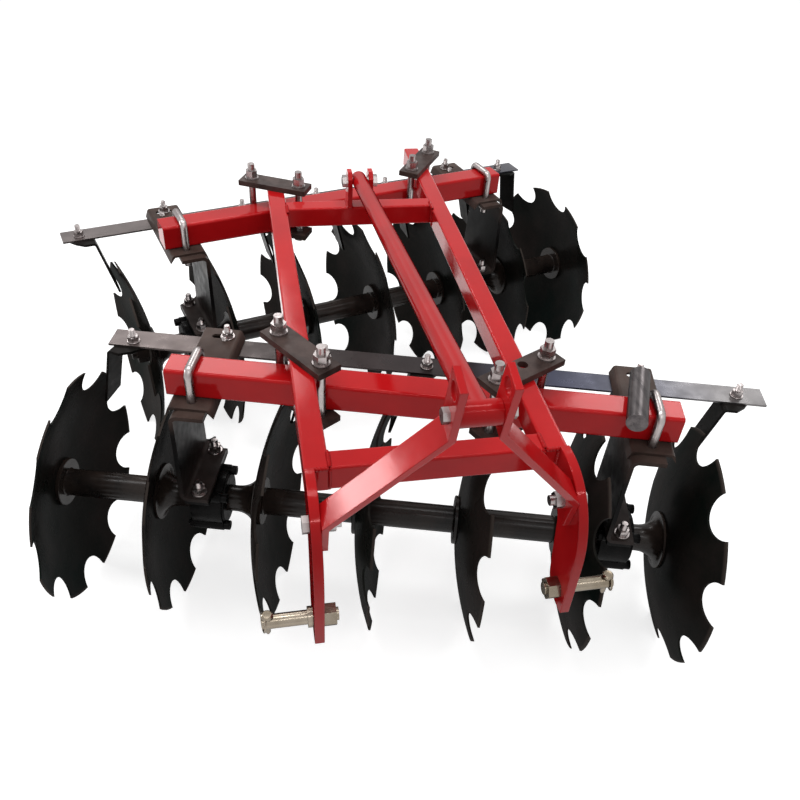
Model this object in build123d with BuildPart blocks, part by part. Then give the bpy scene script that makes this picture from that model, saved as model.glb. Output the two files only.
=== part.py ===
"""Mounted offset disc harrow: a red welded frame with a three-point mast, two disc gangs
set at opposite angles, gang hangers with bearings, and a scraper bar behind each gang.

Frame: +X to the right seen from the hitch end, +Y towards the rear, +Z up, millimetres.
The origin is on the floor under the middle of the bounding box.
"""
import os
from math import cos, hypot, radians, sin

from build123d import *

os.makedirs("parts", exist_ok=True)

# ---------------------------------------------------------------- driving dimensions
DISC_R = 230.0
DISC_T = 4.0
DISC_DISH = 45.0
DISC_FLAT_R = 57.0
DISC_PITCH = 200.0
DISC_COUNT = 7
FIRST_RIM = -631.0
NOTCH_COUNT = 9
NOTCH_R = 43.0
NOTCH_CENTRE_R = 231.0

AXLE_Z = DISC_R
AXLE_SQ = 28.0
SPOOL_R = 27.0
SPOOL_BORE_R = 20.5
FLANGE_R = 48.0
FLANGE_T = 8.0
NECK_R = 26.0
BELL_R = 56.0
BELL_LIP = 4.5
BELL_L = 43.0
BEARING_GAPS = (1, 5)

GANG_SQ = 55.0
GANG_TOP = 563.0
GANG_MID = GANG_TOP - GANG_SQ / 2
GANG_BOT = GANG_TOP - GANG_SQ

MID_X = 0.0
FRONT_Y = -379.9
GANG_STEP = 757.6
FRONT_ANGLE = -15.0
REAR_ANGLE = 16.0

LONG_X = 183.0
LONG_W = 38.0
LONG_H = 45.0
LONG_FRONT = FRONT_Y - 234.0
LONG_REAR_LEFT = FRONT_Y + 745.0
LONG_REAR_RIGHT = FRONT_Y + 917.0
LONG_TOP = GANG_TOP + LONG_H
LONG_MID = GANG_TOP + LONG_H / 2
CROSS_D = 38.0
CROSS_REAR_D = 40.0
CROSS_REAR_Y = FRONT_Y + 588.0

HITCH_T = 15.0
HITCH_OUT = LONG_X + LONG_W / 2 - 0.5
HITCH_IN = HITCH_OUT - HITCH_T
PIN_Y = FRONT_Y - 338.0
PIN_Z = 403.0
PIN_R = 11.0
PIN_FREE = 68.0
PIN_END = HITCH_OUT + 8.0 + PIN_FREE

MAST_T = 10.0
MAST_W = 42.0
MAST_GAP = 55.0
MAST_BEND_Y = FRONT_Y - 374.0
MAST_BEND_Z = 774.5
MAST_LEAN = 12.3
MAST_UP = 92.0
MAST_DROP = 190.0
MAST_TAB = 60.0
TOP_HOLE_R = 12.7
TOP_HOLE_UP = 72.0
TIE_R = 17.0
TAB_BOLT_Y = FRONT_Y - 299.0
TAB_BOLT_Z = 565.0
TAB_BOLT_R = 8.0

CLAMP_T = 12.0
CLAMP_L = 162.0
CLAMP_W = 48.0
CLAMP_TURN = 42.0
CLAMP_BOLT_R = 8.0
CLAMP_BOLT_REACH = 58.0

CHANNEL_TIP = 43.0
CHANNEL_T = 5.0
CHANNEL_H = 19.5
CHANNEL_FRONT = -58.0
CHANNEL_REAR = 190.0
HANGER_T = 8.0
HANGER_TOP = GANG_BOT - CHANNEL_T
FOOT_Z = 296.0
UBOLT_R = 8.0
UBOLT_V = GANG_SQ / 2 + UBOLT_R + 0.5

FOOT_BOLT_V = (-62.0, 55.0)
FOOT_BOLT_R = 7.0
SLOT_U = 3.0
SLOT_V = 164.0
SLOT_L = 38.0
SLOT_W = 13.0
BAR_BOLT_R = 6.0

HOUSING_R = 54.0
HOUSING_START = -27.0
HOUSING_END = 33.0
COVER_R = 50.0
LUG_R = 11.0
LUG_REACH = 55.0
PAD_H = 12.0

BAR_START = -591.0
BAR_W = 51.0
BAR_T = 4.0
BAR_TOP = GANG_BOT - CHANNEL_H
TAB_T = 5.5
SCRAPER_TOP = BAR_TOP - BAR_T
SCRAPER_LEAN = 0.245
SCRAPER_LOW = 345.0
TAB_BOLT_U = 31.0
TAB_BOLT_V = 43.0

GANGS = [
    # name, y of the beam at mid-width, turn in degrees, side the dish faces
    ("front", FRONT_Y, FRONT_ANGLE, 1),
    ("rear", FRONT_Y + GANG_STEP, REAR_ANGLE, -1),
]

FITTINGS = {
    # gang: along the gang from its middle, the ends of the beam, the end of the scraper bar,
    # the bearings, the channels over them and the bolts in the channel slots; last, the
    # front edge of the scraper bar
    "front": ((-424.0, 476.0), 683.0, (-377.0, 423.0), (-377.0, 431.0), (-362.0, 437.0), 132.0),
    "rear": ((-419.0, 464.0), 665.0, (-379.0, 411.0), (-377.0, 419.0), (-365.0, 421.0), 126.0),
}

DISC_SETS = {
    # gang: for each disc, angle of one notch above the rear side, distance of the scraper
    # bolt from the rim along the gang and across it, turn of the scraper
    "front": [
        (14.5, 84.6, 148.5, -16.0),
        (38.5, 65.0, 155.0, 0.0),
        (21.0, 61.0, 155.0, 0.0),
        (9.0, 61.0, 155.0, 0.0),
        (38.0, 61.0, 155.0, 0.0),
        (16.0, 61.0, 155.0, 0.0),
        (39.7, 61.0, 155.0, 0.0),
    ],
    "rear": [
        (15.0, 100.0, 148.0, -28.0),
        (0.0, 61.0, 147.0, 0.0),
        (13.5, 61.0, 147.0, 0.0),
        (23.0, 61.0, 147.0, 0.0),
        (32.0, 61.0, 147.0, 0.0),
        (38.5, 61.0, 147.0, 0.0),
        (21.5, 57.0, 147.0, 0.0),
    ],
}


# ---------------------------------------------------------------- main frame
with BuildPart() as long_beam_left:
    with Locations((MID_X - LONG_X, (LONG_FRONT + LONG_REAR_LEFT) / 2, LONG_MID)):
        Box(LONG_W, LONG_REAR_LEFT - LONG_FRONT, LONG_H)
    fillet(long_beam_left.edges().filter_by(Axis.Y), 4.0)
long_beam_left.part.label = "long_beam_left"
export_step(long_beam_left.part, "parts/long_beam_left.step")

with BuildPart() as long_beam_right:
    with Locations((MID_X + LONG_X, (LONG_FRONT + LONG_REAR_RIGHT) / 2, LONG_MID)):
        Box(LONG_W, LONG_REAR_RIGHT - LONG_FRONT, LONG_H)
    fillet(long_beam_right.edges().filter_by(Axis.Y), 4.0)
long_beam_right.part.label = "long_beam_right"
export_step(long_beam_right.part, "parts/long_beam_right.step")

with BuildPart() as cross_tube_front:
    with Locations((MID_X, LONG_FRONT + CROSS_D / 2, LONG_MID)):
        Box(2 * LONG_X - LONG_W, CROSS_D, LONG_H)
    fillet(cross_tube_front.edges().filter_by(Axis.X), 4.0)
cross_tube_front.part.label = "cross_tube_front"
export_step(cross_tube_front.part, "parts/cross_tube_front.step")

with BuildPart() as cross_tube_rear:
    with Locations((MID_X, CROSS_REAR_Y + CROSS_REAR_D / 2, LONG_MID)):
        Box(2 * LONG_X - LONG_W, CROSS_REAR_D, LONG_H)
    fillet(cross_tube_rear.edges().filter_by(Axis.X), 4.0)
cross_tube_rear.part.label = "cross_tube_rear"
export_step(cross_tube_rear.part, "parts/cross_tube_rear.step")

# Hitch plates run forward from the beam ends and curve down to the lower pins.
for side, name in ((-1, "hitch_plate_left"), (1, "hitch_plate_right")):
    with BuildPart() as hitch_plate:
        with BuildSketch(Plane.YZ.offset(MID_X + side * HITCH_IN)):
            with BuildLine():
                l1 = Line((LONG_FRONT, GANG_TOP + 1), (LONG_FRONT, LONG_TOP + 5))
                l2 = Line(l1 @ 1, (FRONT_Y - 263, LONG_TOP + 6))
                l3 = Spline(
                    l2 @ 1,
                    (FRONT_Y - 287, 610),
                    (FRONT_Y - 309, 600),
                    (FRONT_Y - 331, 583),
                    (FRONT_Y - 344, 566),
                )
                l4 = Line(l3 @ 1, (FRONT_Y - 360, 561))
                l5 = Line(l4 @ 1, (FRONT_Y - 366, 501))
                l6 = Line(l5 @ 1, (FRONT_Y - 367, 371))
                l7 = Line(l6 @ 1, (FRONT_Y - 339, 370))
                l8 = Line(l7 @ 1, (FRONT_Y - 304, 389))
                l9 = Line(l8 @ 1, (FRONT_Y - 297, 419))
                l10 = Line(l9 @ 1, (FRONT_Y - 281, 509))
                l11 = Line(l10 @ 1, l1 @ 0)
            make_face()
        extrude(amount=side * HITCH_T)
        with BuildSketch(Plane.YZ.offset(MID_X + side * HITCH_IN)):
            with Locations((PIN_Y, PIN_Z)):
                Circle(10.3)
            with Locations((TAB_BOLT_Y, TAB_BOLT_Z)):
                Circle(TAB_BOLT_R + 0.25)
        extrude(amount=side * HITCH_T, mode=Mode.SUBTRACT)
    hitch_plate.part.label = name
    export_step(hitch_plate.part, f"parts/{name}.step")

# Lower hitch pins with their inner nuts, collars and linchpin holes.
with BuildPart() as lower_pins:
    for side in (-1, 1):
        for r, x0, x1 in (
            (10.0, HITCH_IN - 24, HITCH_OUT),
            (16.0, HITCH_OUT, HITCH_OUT + 8),
            (PIN_R, HITCH_OUT + 8, PIN_END),
        ):
            with Locations((MID_X + side * (x0 + x1) / 2, PIN_Y, PIN_Z)):
                Cylinder(r, x1 - x0, rotation=(0, 90, 0))
        with BuildSketch(Plane.YZ.offset(MID_X + side * HITCH_IN)):
            with Locations((PIN_Y, PIN_Z)):
                RegularPolygon(16.0, 6, major_radius=False)
        extrude(amount=-side * 20)
lower_pins.part.label = "lower_pins"
export_step(lower_pins.part, "parts/lower_pins.step")

# Mast plates: flat bar, upright at the top, splayed to the hitch plates below.
leg_len = hypot(HITCH_IN - MAST_GAP / 2 - MAST_T, MAST_DROP)
leg_x = (HITCH_IN - MAST_GAP / 2 - MAST_T) / leg_len
leg_s = MAST_DROP / leg_len
mast_w = Vector(0, cos(radians(MAST_LEAN)), sin(radians(MAST_LEAN)))
outer_x = MAST_GAP / 2 + MAST_T
inner_top = MAST_T * leg_x + leg_s / leg_x * (MAST_T * leg_s - MAST_T)
inner_low = MAST_T * leg_x + leg_s / leg_x * (HITCH_IN - outer_x - MAST_T + MAST_T * leg_s)
for side, name in ((-1, "mast_plate_left"), (1, "mast_plate_right")):
    bend = Plane(
        origin=(MID_X, MAST_BEND_Y, MAST_BEND_Z),
        x_dir=(1, 0, 0),
        z_dir=mast_w,
    )
    with BuildPart() as mast_plate:
        with BuildSketch(bend):
            with BuildLine():
                Polyline(
                    (side * (outer_x - MAST_T), -MAST_UP),
                    (side * outer_x, -MAST_UP),
                    (side * outer_x, 0),
                    (side * HITCH_IN, MAST_DROP),
                    (side * HITCH_IN, MAST_DROP + MAST_TAB),
                    (side * (HITCH_IN - MAST_T), MAST_DROP + MAST_TAB),
                    (side * (HITCH_IN - MAST_T), inner_low),
                    (side * (outer_x - MAST_T), inner_top),
                    close=True,
                )
            make_face()
        extrude(amount=MAST_W)
        hole_y = MAST_BEND_Y + MAST_W / 2 * mast_w.Y - TOP_HOLE_UP * mast_w.Z
        hole_z = MAST_BEND_Z + MAST_W / 2 * mast_w.Z + TOP_HOLE_UP * mast_w.Y
        with Locations((MID_X, hole_y, hole_z)):
            Cylinder(TOP_HOLE_R, 2 * outer_x + 10, rotation=(0, 90, 0), mode=Mode.SUBTRACT)
        with Locations((MID_X, TAB_BOLT_Y, TAB_BOLT_Z)):
            Cylinder(TAB_BOLT_R + 0.25, 2 * HITCH_IN + 10, rotation=(0, 90, 0), mode=Mode.SUBTRACT)
    mast_plate.part.label = name
    export_step(mast_plate.part, f"parts/{name}.step")

# Tie tube between the mast plates and the stay pipe running back to the rear cross tube.
tie_y = FRONT_Y - 362.0
tie_z = 806.0
stay_y = CROSS_REAR_Y + CROSS_REAR_D / 2
stay_z = LONG_TOP + 55.0
stay_len = hypot(stay_y - tie_y, tie_z - stay_z)
with BuildPart() as mast_stay:
    with Locations((MID_X, tie_y, tie_z)):
        Cylinder(TIE_R, MAST_GAP, rotation=(0, 90, 0))
    with BuildSketch(Plane(origin=(MID_X, tie_y, tie_z), z_dir=(0, stay_y - tie_y, stay_z - tie_z))):
        Circle(TIE_R)
    extrude(amount=stay_len + 16)
    with Locations((MID_X, stay_y, stay_z)):
        Cylinder(8.25, 60, rotation=(0, 90, 0), mode=Mode.SUBTRACT)
mast_stay.part.label = "mast_stay"
export_step(mast_stay.part, "parts/mast_stay.step")

with BuildPart() as stay_lugs:
    for side in (-1, 1):
        with BuildSketch(Plane.YZ.offset(MID_X + side * 18.0)):
            with BuildLine():
                Polyline(
                    (stay_y - 20, LONG_TOP),
                    (stay_y + 20, LONG_TOP),
                    (stay_y + 20, stay_z + 10),
                    (stay_y + 10, stay_z + 24),
                    (stay_y - 10, stay_z + 24),
                    (stay_y - 20, stay_z + 10),
                    close=True,
                )
            make_face()
            with Locations((stay_y, stay_z)):
                Circle(8.25, mode=Mode.SUBTRACT)
        extrude(amount=side * 10)
stay_lugs.part.label = "stay_lugs"
export_step(stay_lugs.part, "parts/stay_lugs.step")

# Bolts through the mast plates, the hitch plates and the stay lugs.
with BuildPart() as mast_bolts:
    with Locations((MID_X, stay_y, stay_z)):
        Cylinder(8.0, 80, rotation=(0, 90, 0))
    for side in (-1, 1):
        with BuildSketch(Plane.YZ.offset(MID_X + side * 28.0)):
            with Locations((stay_y, stay_z)):
                RegularPolygon(12.0, 6, major_radius=False)
        extrude(amount=side * 11)
        for x0, y, z, flats, height in (
            (outer_x, tie_y, tie_z, 9.5, 9.0),
            (HITCH_OUT, TAB_BOLT_Y, TAB_BOLT_Z, 12.0, 10.0),
            (HITCH_IN - MAST_T, TAB_BOLT_Y, TAB_BOLT_Z, 12.0, -13.0),
        ):
            with BuildSketch(Plane.YZ.offset(MID_X + side * x0)):
                with Locations((y, z)):
                    RegularPolygon(flats, 6, major_radius=False)
            extrude(amount=side * height)
        with Locations((MID_X + side * (HITCH_OUT + HITCH_IN - MAST_T - 21) / 2, TAB_BOLT_Y, TAB_BOLT_Z)):
            Cylinder(TAB_BOLT_R, HITCH_T + MAST_T + 21, rotation=(0, 90, 0))
mast_bolts.part.label = "mast_bolts"
export_step(mast_bolts.part, "parts/mast_bolts.step")

# ---------------------------------------------------------------- the two gangs
for gang, gang_y, turn, dish in GANGS:
    beam_ends, bar_end, bearing_us, channel_us, slot_us, bar_v = FITTINGS[gang]
    gang_plane = Plane(
        origin=(MID_X, gang_y, 0),
        x_dir=(cos(radians(turn)), sin(radians(turn)), 0),
        z_dir=(0, 0, 1),
    )
    place = gang_plane.location
    bearings = [dish * u for u in bearing_us]
    channels = [dish * u for u in channel_us]
    crossings = []
    for x in (-LONG_X, LONG_X):
        crossings.append((x / cos(radians(turn)), x))

    with BuildPart() as gang_beam:
        with Locations(place * Location((dish * sum(beam_ends) / 2, 0, GANG_MID))):
            Box(beam_ends[1] - beam_ends[0], GANG_SQ, GANG_SQ)
        fillet(gang_beam.edges().filter_by(Axis((0, 0, 0), gang_plane.x_dir)), 6.0)
    gang_beam.part.label = f"gang_beam_{gang}"
    export_step(gang_beam.part, f"parts/gang_beam_{gang}.step")

    # Clamp plates above the long beams and below the gang beam, set across the corner.
    for level, z0 in (("top", LONG_TOP), ("bottom", GANG_BOT - CLAMP_T)):
        with BuildPart() as clamp_plates:
            for u, x in crossings:
                tilt = -CLAMP_TURN if x * dish < 0 else CLAMP_TURN
                spot = place * Location((u, 0, z0 + CLAMP_T / 2), (0, 0, dish * tilt))
                with Locations(spot):
                    Box(CLAMP_L, CLAMP_W, CLAMP_T)
                with Locations(
                    spot * Location((-CLAMP_BOLT_REACH, 0, 0)),
                    spot * Location((CLAMP_BOLT_REACH, 0, 0)),
                ):
                    Cylinder(CLAMP_BOLT_R + 0.3, CLAMP_T + 2, mode=Mode.SUBTRACT)
                if (gang, level, x) == ("front", "top", LONG_X):
                    with Locations(spot * Location((8, 7, 0))):
                        Cylinder(9.5, CLAMP_T + 2, mode=Mode.SUBTRACT)
        clamp_plates.part.label = f"clamp_{level}_{gang}"
        export_step(clamp_plates.part, f"parts/clamp_{level}_{gang}.step")

    with BuildPart() as clamp_bolts:
        for u, x in crossings:
            tilt = -CLAMP_TURN if x * dish < 0 else CLAMP_TURN
            spot = place * Location((u, 0, 0), (0, 0, dish * tilt))
            for reach in (-CLAMP_BOLT_REACH, CLAMP_BOLT_REACH):
                z0 = GANG_BOT - CLAMP_T - 10
                z1 = LONG_TOP + CLAMP_T + 35
                with Locations(spot * Location((reach, 0, (z0 + z1) / 2))):
                    Cylinder(CLAMP_BOLT_R, z1 - z0)
                with Locations(spot * Location((reach, 0, LONG_TOP + CLAMP_T + 1.5))):
                    Cylinder(15.5, 3)
                with Locations(spot * Location((reach, 0, LONG_TOP + CLAMP_T + 5))):
                    Cylinder(12.5, 4)
                for z, h in ((GANG_BOT - CLAMP_T - 10, 10), (LONG_TOP + CLAMP_T + 7, 13)):
                    with BuildSketch(Plane(spot * Location((reach, 0, z)))):
                        RegularPolygon(12.0, 6, major_radius=False)
                    extrude(amount=h)
    clamp_bolts.part.label = f"clamp_bolts_{gang}"
    export_step(clamp_bolts.part, f"parts/clamp_bolts_{gang}.step")

    # One hanger: a plate folded to a C, its web on the convex side of the discs.
    with BuildPart() as hanger:
        with BuildSketch(Plane(origin=(0, 0, 0), x_dir=(dish, 0, 0), z_dir=(0, -dish, 0))):
            with BuildLine():
                Polyline(
                    (29.5, HANGER_TOP),
                    (-32.0, HANGER_TOP),
                    (-32.0, FOOT_Z),
                    (20.5, FOOT_Z),
                    (20.5, FOOT_Z + HANGER_T),
                    (HANGER_T - 32.0, FOOT_Z + HANGER_T),
                    (HANGER_T - 32.0, HANGER_TOP - HANGER_T),
                    (29.5, HANGER_TOP - HANGER_T),
                    close=True,
                )
            make_face()
        extrude(amount=90, both=True)
        bends = hanger.edges().filter_by(Axis.Y).sort_by(Axis.X)
        bends = bends[:4] if dish > 0 else bends[-4:]
        fillet(bends.filter_by(lambda e: abs(e.center().X) > 31), 16.0)
        bends = hanger.edges().filter_by(Axis.Y)
        fillet(bends.filter_by(lambda e: abs(abs(e.center().X) - 32 + HANGER_T) < 0.1), 8.0)
        with BuildSketch(Plane.YZ):
            with BuildLine():
                Polyline(
                    (-77, HANGER_TOP + 1),
                    (73, HANGER_TOP + 1),
                    (73, 430),
                    (79, FOOT_Z + 30),
                    (79, FOOT_Z - 1),
                    (-81, FOOT_Z - 1),
                    (-81, FOOT_Z + 30),
                    (-77, 430),
                    close=True,
                )
            make_face()
        extrude(amount=100, both=True, mode=Mode.INTERSECT)
        with BuildSketch(Plane.XY.offset(FOOT_Z - 1)):
            with BuildLine():
                Polyline((0, 80), (dish * 22, 80), (dish * 22, 62), (dish * 16, 62), close=True)
            make_face()
        extrude(amount=HANGER_T + 2, mode=Mode.SUBTRACT)

    # One channel: plate with its long sides pressed down and out to a thin edge, slotted
    # at the rear for the scraper bar bolt.
    with BuildPart() as channel:
        with BuildSketch(Plane(origin=(0, CHANNEL_FRONT, 0), x_dir=(1, 0, 0), z_dir=(0, -1, 0))):
            with BuildLine():
                Polyline(
                    (-CHANNEL_TIP, BAR_TOP + 0.4),
                    (-36.5, GANG_BOT),
                    (36.5, GANG_BOT),
                    (CHANNEL_TIP, BAR_TOP + 0.4),
                    (31.5, GANG_BOT - CHANNEL_T),
                    (-31.5, GANG_BOT - CHANNEL_T),
                    close=True,
                )
            make_face()
        extrude(amount=CHANNEL_FRONT - CHANNEL_REAR)
        corners = channel.edges().filter_by(Axis.Y)
        fillet(corners.filter_by(lambda e: abs(abs(e.center().X) - 36.5) < 0.1), 7.0)
        with BuildSketch(Plane.XY.offset(GANG_BOT)):
            with Locations((dish * SLOT_U, SLOT_V)):
                SlotOverall(SLOT_L, SLOT_W)
            with Locations((0, -UBOLT_V), (0, UBOLT_V)):
                Circle(UBOLT_R + 0.3)
        extrude(amount=-CHANNEL_T - 2, mode=Mode.SUBTRACT)

    with BuildPart() as hangers:
        for u, u_channel in zip(bearings, channels):
            with Locations(place * Location((u, 0, 0))):
                add(hanger.part)
            with Locations(place * Location((u_channel, 0, 0))):
                add(channel.part)
            with Locations(
                place * Location((u_channel, -UBOLT_V, HANGER_TOP)),
                place * Location((u_channel, UBOLT_V, HANGER_TOP)),
            ):
                Cylinder(UBOLT_R + 0.3, 2 * HANGER_T + 6, mode=Mode.SUBTRACT)
            with Locations(
                place * Location((u, FOOT_BOLT_V[0], FOOT_Z)),
                place * Location((u, FOOT_BOLT_V[1], FOOT_Z)),
            ):
                Cylinder(FOOT_BOLT_R + 0.4, 2 * HANGER_T + 6, mode=Mode.SUBTRACT)
    hangers.part.label = f"hangers_{gang}"
    export_step(hangers.part, f"parts/hangers_{gang}.step")

    # Bearing housings: round casting with four bolt lugs, a bolted cover, and a pad with
    # two studs under the foot of the hanger.
    with BuildPart() as bearing_housings:
        for u in bearings:
            face = Plane(
                origin=(place * Location((u, 0, AXLE_Z))).position,
                x_dir=gang_plane.y_dir,
                z_dir=gang_plane.x_dir,
            )
            with BuildSketch(face.offset(dish * HOUSING_START)):
                Circle(HOUSING_R)
                with PolarLocations(LUG_REACH, 4, start_angle=45):
                    Circle(LUG_R)
            extrude(amount=dish * (HOUSING_END - HOUSING_START))
            with Locations(place * Location((u - dish * 3, -2, FOOT_Z - PAD_H / 2))):
                Box(46, 148, PAD_H)
            with BuildSketch(face.offset(-13 - 3 * dish)):
                with BuildLine():
                    Polyline(
                        (-60, FOOT_Z - AXLE_Z - PAD_H),
                        (60, FOOT_Z - AXLE_Z - PAD_H),
                        (47, 24),
                        (-47, 24),
                        close=True,
                    )
                make_face()
            extrude(amount=26)
            with BuildSketch(face.offset(dish * HOUSING_END)):
                Circle(COVER_R)
            extrude(amount=dish * 4, taper=20)
            with Locations(place * Location((u, 0, AXLE_Z))):
                Cylinder(NECK_R + 0.6, 120, rotation=(0, 90, 0), mode=Mode.SUBTRACT)
                for v in FOOT_BOLT_V:
                    with Locations((0, v, FOOT_Z - AXLE_Z - PAD_H)):
                        Cylinder(FOOT_BOLT_R + 0.4, 3 * PAD_H, mode=Mode.SUBTRACT)
    bearing_housings.part.label = f"bearing_housings_{gang}"
    export_step(bearing_housings.part, f"parts/bearing_housings_{gang}.step")

    with BuildPart() as u_bolts:
        for u in channels:
            spot = place * Location((u, 0, 0))
            top_z = GANG_TOP + UBOLT_R + 0.3
            low_z = GANG_BOT - 40
            with BuildLine(Plane(spot * Location((0, 0, 0), (90, 90, 0)))) as u_path:
                FilletPolyline(
                    (-UBOLT_V, low_z), (-UBOLT_V, top_z), (UBOLT_V, top_z), (UBOLT_V, low_z), radius=13
                )
            with BuildSketch(Plane(origin=u_path.line @ 0, z_dir=u_path.line % 0)):
                Circle(UBOLT_R)
            sweep(path=u_path.line)
    u_bolts.part.label = f"u_bolts_{gang}"
    export_step(u_bolts.part, f"parts/u_bolts_{gang}.step")

    # Scraper bar under the rear ends of the channels, with one scraper for each disc.
    with BuildPart() as scraper_bar:
        with BuildSketch(gang_plane.offset(BAR_TOP)):
            with Locations((dish * (BAR_START + bar_end) / 2, bar_v + BAR_W / 2)):
                Rectangle(bar_end - BAR_START, BAR_W)
        extrude(amount=-BAR_T)
        with BuildSketch(gang_plane.offset(BAR_TOP)):
            for u in slot_us:
                with Locations((dish * u, SLOT_V)):
                    Circle(BAR_BOLT_R + 0.4)
            for k, (phase, reach, across, yaw) in enumerate(DISC_SETS[gang]):
                with Locations((dish * (FIRST_RIM + k * DISC_PITCH + reach), across)):
                    Circle(BAR_BOLT_R + 0.4)
        extrude(amount=-BAR_T, mode=Mode.SUBTRACT)
    scraper_bar.part.label = f"scraper_bar_{gang}"
    export_step(scraper_bar.part, f"parts/scraper_bar_{gang}.step")

    # One scraper: a tab under the bar and an arm folded down along the hollow of the disc.
    # Its origin is the tab bolt.
    with BuildPart() as scraper:
        drop = SCRAPER_TOP - SCRAPER_LOW
        near = -dish * TAB_BOLT_U
        with BuildSketch(Plane(origin=(0, -TAB_BOLT_V - 10, 0), x_dir=(1, 0, 0), z_dir=(0, -1, 0))):
            with BuildLine():
                Polyline(
                    (near, SCRAPER_TOP),
                    (near + dish * 60, SCRAPER_TOP),
                    (near + dish * 60, SCRAPER_TOP - TAB_T),
                    (near + dish * TAB_T * (1 - SCRAPER_LEAN), SCRAPER_TOP - TAB_T),
                    (near + dish * (TAB_T - SCRAPER_LEAN * drop), SCRAPER_LOW),
                    (near - dish * SCRAPER_LEAN * drop, SCRAPER_LOW),
                    close=True,
                )
            make_face()
        extrude(amount=-90)
        for z, reach, bend in ((SCRAPER_TOP, 1, 9.0), (SCRAPER_TOP - TAB_T, 10, 3.5)):
            folds = scraper.edges().filter_by(Axis.Y)
            folds = folds.filter_by(lambda e: abs(e.center().Z - z) < 0.1)
            fillet(folds.filter_by(lambda e: abs(e.center().X - near) < reach), bend)
        with BuildSketch(Plane.YZ):
            with BuildLine():
                Polyline(
                    (-TAB_BOLT_V, SCRAPER_TOP + 1),
                    (-TAB_BOLT_V + 66, SCRAPER_TOP + 1),
                    (-TAB_BOLT_V + 66, SCRAPER_TOP - TAB_T - 1),
                    (-TAB_BOLT_V + 46, SCRAPER_TOP - TAB_T - 3),
                    (-TAB_BOLT_V + 45, SCRAPER_LOW + 12),
                    (-TAB_BOLT_V, SCRAPER_LOW),
                    close=True,
                )
            make_face()
        extrude(amount=120, both=True, mode=Mode.INTERSECT)
        with BuildSketch(Plane.XY.offset(SCRAPER_TOP + 1)):
            with BuildLine():
                Polyline(
                    (near + dish * 24, -TAB_BOLT_V - 1),
                    (near + dish * 43, -TAB_BOLT_V + 15),
                    (near + dish * 61, -TAB_BOLT_V + 40),
                    (near + dish * 62, -TAB_BOLT_V - 1),
                    close=True,
                )
            make_face()
            Circle(BAR_BOLT_R + 0.4)
        extrude(amount=-TAB_T - 2, mode=Mode.SUBTRACT)

    with BuildPart() as scrapers:
        for k, (phase, reach, across, yaw) in enumerate(DISC_SETS[gang]):
            u = dish * (FIRST_RIM + k * DISC_PITCH + reach)
            with Locations(place * Location((u, across, 0), (0, 0, dish * yaw))):
                add(scraper.part)
    scrapers.part.label = f"scrapers_{gang}"
    export_step(scrapers.part, f"parts/scrapers_{gang}.step")

    # Rotating gang: dished notched discs, spools, and the square axle with its end nuts.
    with BuildPart() as discs:
        mid_r = (DISC_R + DISC_FLAT_R) / 2
        mid_d = DISC_DISH * (mid_r**2 - DISC_FLAT_R**2) / (DISC_R**2 - DISC_FLAT_R**2)
        for k, (phase, reach, across, yaw) in enumerate(DISC_SETS[gang]):
            rim = FIRST_RIM + k * DISC_PITCH
            hub = rim - DISC_DISH
            with BuildSketch(Plane(place * Location((0, 0, AXLE_Z), (90, 0, 0)))):
                with BuildLine():
                    a1 = ThreePointArc(
                        (dish * hub, DISC_FLAT_R),
                        (dish * (hub + mid_d), mid_r),
                        (dish * rim, DISC_R),
                    )
                    a2 = Line(a1 @ 1, (dish * (rim - DISC_T), DISC_R))
                    a3 = ThreePointArc(
                        a2 @ 1,
                        (dish * (hub + mid_d - DISC_T), mid_r),
                        (dish * (hub - DISC_T), DISC_FLAT_R),
                    )
                    a4 = Line(a3 @ 1, (dish * (hub - DISC_T), 0))
                    a5 = Line(a4 @ 1, (dish * hub, 0))
                    a6 = Line(a5 @ 1, a1 @ 0)
                make_face()
            revolve(axis=Axis((place * Location((0, 0, AXLE_Z))).position, gang_plane.x_dir))
            with Locations(place * Location((dish * (rim - DISC_DISH / 2), 0, AXLE_Z), (0, 90, 0))):
                with PolarLocations(NOTCH_CENTRE_R, NOTCH_COUNT, start_angle=phase + 90):
                    Cylinder(NOTCH_R, 90, mode=Mode.SUBTRACT)
                Box(AXLE_SQ + 0.6, AXLE_SQ + 0.6, 90, mode=Mode.SUBTRACT)
    discs.part.label = f"discs_{gang}"
    export_step(discs.part, f"parts/discs_{gang}.step")

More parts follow.
